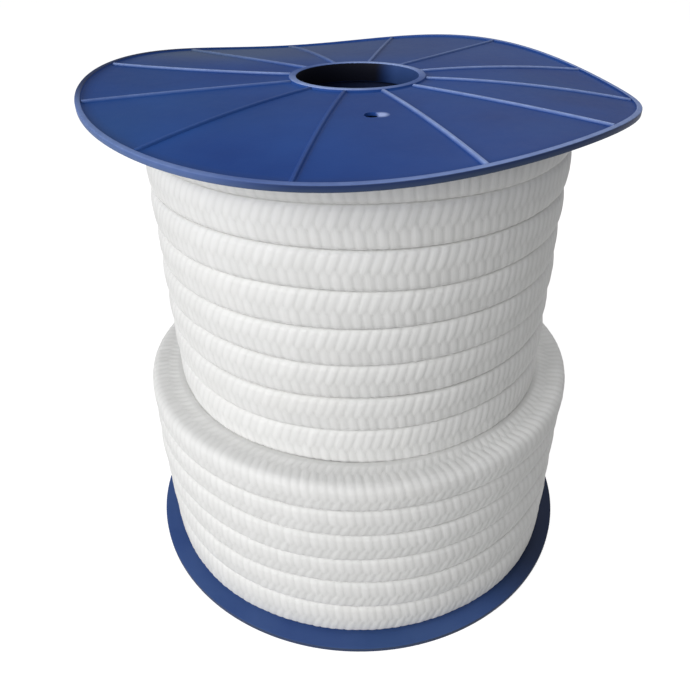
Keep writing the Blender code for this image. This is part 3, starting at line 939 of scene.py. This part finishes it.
def make_flange(name, node, material, turned_over):
    """A flange as a closed mesh. The upper one is buckled, and the lower one turned over."""
    outline = np.array(flange_outline())
    radius = outline[:, 0]
    angle, distance = rib_columns(radius)
    x = radius * np.cos(angle)
    y = radius * np.sin(angle)
    rib = rib_profile(distance) * outline[:, 2]
    z = outline[:, 1] + rib
    values = flange_light_and_dust(outline, x, y, angle, rib, turned_over)
    if not turned_over:
        z = z + UPPER_FACE + buckle(x, y)
        share = 1.0 - RIM_DRAW / FLANGE_RADIUS * reach_from_lip(radius) ** 2
        x = x * share
        y = y * share
    columns, rows = x.shape
    points = np.stack([x, y, z], axis=-1).reshape(-1, 3)
    faces = grid_faces(columns, rows, closed_columns=True)
    flange = mesh_piece(name, points, faces, material, values)
    cut_tie_hole(flange, 0.0 if turned_over else UPPER_FACE)
    if turned_over:
        turn_over = Matrix.Rotation(math.pi, 4, "X")
        flange.data.transform(Matrix.Translation((0.0, 0.0, FLANGE_THICKNESS)) @ turn_over)
    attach(flange, "root")
    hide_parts(node)


TIE_HOLE_SEGMENTS = 40
PIN_LENGTH = 0.012              # of the pin that cuts the hole
MOULDING_SHARP = math.radians(50)


def cut_tie_hole(flange, level):
    """Cuts the tie hole through the plate with an exact Boolean."""
    bm = bmesh.new()
    sizes = {"radius1": TIE_HOLE_RADIUS, "radius2": TIE_HOLE_RADIUS, "depth": PIN_LENGTH}
    bmesh.ops.create_cone(bm, cap_ends=True, segments=TIE_HOLE_SEGMENTS, **sizes)
    place = Vector((math.cos(TIE_HOLE_ANGLE), math.sin(TIE_HOLE_ANGLE), 0.0)) * TIE_HOLE_PLACE
    bmesh.ops.translate(bm, vec=place + Vector((0.0, 0.0, level)), verts=bm.verts)
    mesh = bpy.data.meshes.new("tie_hole")
    bm.to_mesh(mesh)
    bm.free()
    pin = bpy.data.objects.new("tie_hole", mesh)
    bpy.context.scene.collection.objects.link(pin)
    hole = flange.modifiers.new("tie_hole", "BOOLEAN")
    hole.operation = "DIFFERENCE"
    hole.solver = "EXACT"
    hole.object = pin
    depsgraph = bpy.context.evaluated_depsgraph_get()
    cut = bpy.data.meshes.new_from_object(flange.evaluated_get(depsgraph))
    flange.modifiers.clear()
    flange.data = cut
    bpy.data.objects.remove(pin)
    flange.data.shade_smooth()
    flange.data.set_sharp_from_angle(angle=MOULDING_SHARP)


# Stage, light and camera


def make_camera():
    """The camera at the photograph's place and angle."""
    ahead = Vector((
        math.sin(CAMERA_YAW) * math.cos(CAMERA_PITCH),
        math.cos(CAMERA_YAW) * math.cos(CAMERA_PITCH),
        -math.sin(CAMERA_PITCH),
    ))
    right = Vector((math.cos(CAMERA_YAW), -math.sin(CAMERA_YAW), 0.0))
    up = right.cross(ahead)
    rolled_right = math.cos(CAMERA_ROLL) * right + math.sin(CAMERA_ROLL) * up
    rolled_up = -math.sin(CAMERA_ROLL) * right + math.cos(CAMERA_ROLL) * up
    turn = Matrix((rolled_right, rolled_up, -ahead)).transposed().to_4x4()
    data = bpy.data.cameras.new("camera")
    data.lens = CAMERA_LENS
    data.sensor_width = CAMERA_SENSOR
    data.clip_start = CAMERA_NEAR
    camera = bpy.data.objects.new("camera", data)
    bpy.context.scene.collection.objects.link(camera)
    camera.matrix_world = Matrix.Translation((0.0, -CAMERA_BACK, CAMERA_HEIGHT)) @ turn
    bpy.context.scene.camera = camera


def add_lamp(name, place, width, watts):
    """A square soft light that points at the spool."""
    data = bpy.data.lights.new(name, "AREA")
    data.shape = "SQUARE"
    data.size = width
    data.energy = watts
    lamp = bpy.data.objects.new(name, data)
    bpy.context.scene.collection.objects.link(lamp)
    lamp.location = place
    lamp.rotation_euler = (Vector(LIGHT_TARGET) - Vector(place)).to_track_quat("-Z", "Y").to_euler()


def make_stage():
    """White surroundings, a pale floor and soft light, strongest from the left."""
    world = bpy.data.worlds.new("studio")
    bpy.context.scene.world = world
    world.use_nodes = True
    tree = world.node_tree
    tree.nodes.clear()
    term = Term(tree, None)
    path = term.node("ShaderNodeLightPath")
    rays = path.socket.node.outputs
    seen = (Term(tree, rays["Is Camera Ray"]) + Term(tree, rays["Is Transmission Ray"])).limited()
    strength = seen * (1.0 - WORLD_LIGHT) + WORLD_LIGHT
    sky = term.node("ShaderNodeBackground", None, {"Color": WHITE, "Strength": strength})
    output = tree.nodes.new("ShaderNodeOutputWorld")
    tree.links.new(sky.socket, output.inputs["Surface"])
    bm = bmesh.new()
    bmesh.ops.create_grid(bm, x_segments=1, y_segments=1, size=FLOOR_SIZE)
    mesh = bpy.data.meshes.new("floor")
    bm.to_mesh(mesh)
    bm.free()
    floor = bpy.data.objects.new("floor", mesh)
    bpy.context.scene.collection.objects.link(floor)
    mesh.materials.append(floor_paper())
    add_lamp("key", KEY_PLACE, KEY_WIDTH, KEY_WATTS)
    add_lamp("front", FRONT_PLACE, FRONT_WIDTH, FRONT_WATTS)
    add_lamp("back", BACK_PLACE, BACK_WIDTH, BACK_WATTS)
    bpy.context.scene.view_settings.view_transform = "Standard"


# Painted shade: the barrel is darkened all over, standing in for the shade deep in the bore
BARREL_PAINTED_SHADE = 0.85


def main():
    plastic = blue_plastic("blue_plastic", 0.0)
    braid = white_braid()
    make_camera()
    make_flange("upper_flange_moulding", "upper_flange", plastic, False)
    make_flange("lower_flange_moulding", "lower_flange", plastic, True)
    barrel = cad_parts["barrel"]
    barrel.data.materials.clear()
    barrel.data.materials.append(blue_plastic("blue_plastic_shaded", BARREL_PAINTED_SHADE))
    make_winding(braid)
    make_stage()


main()
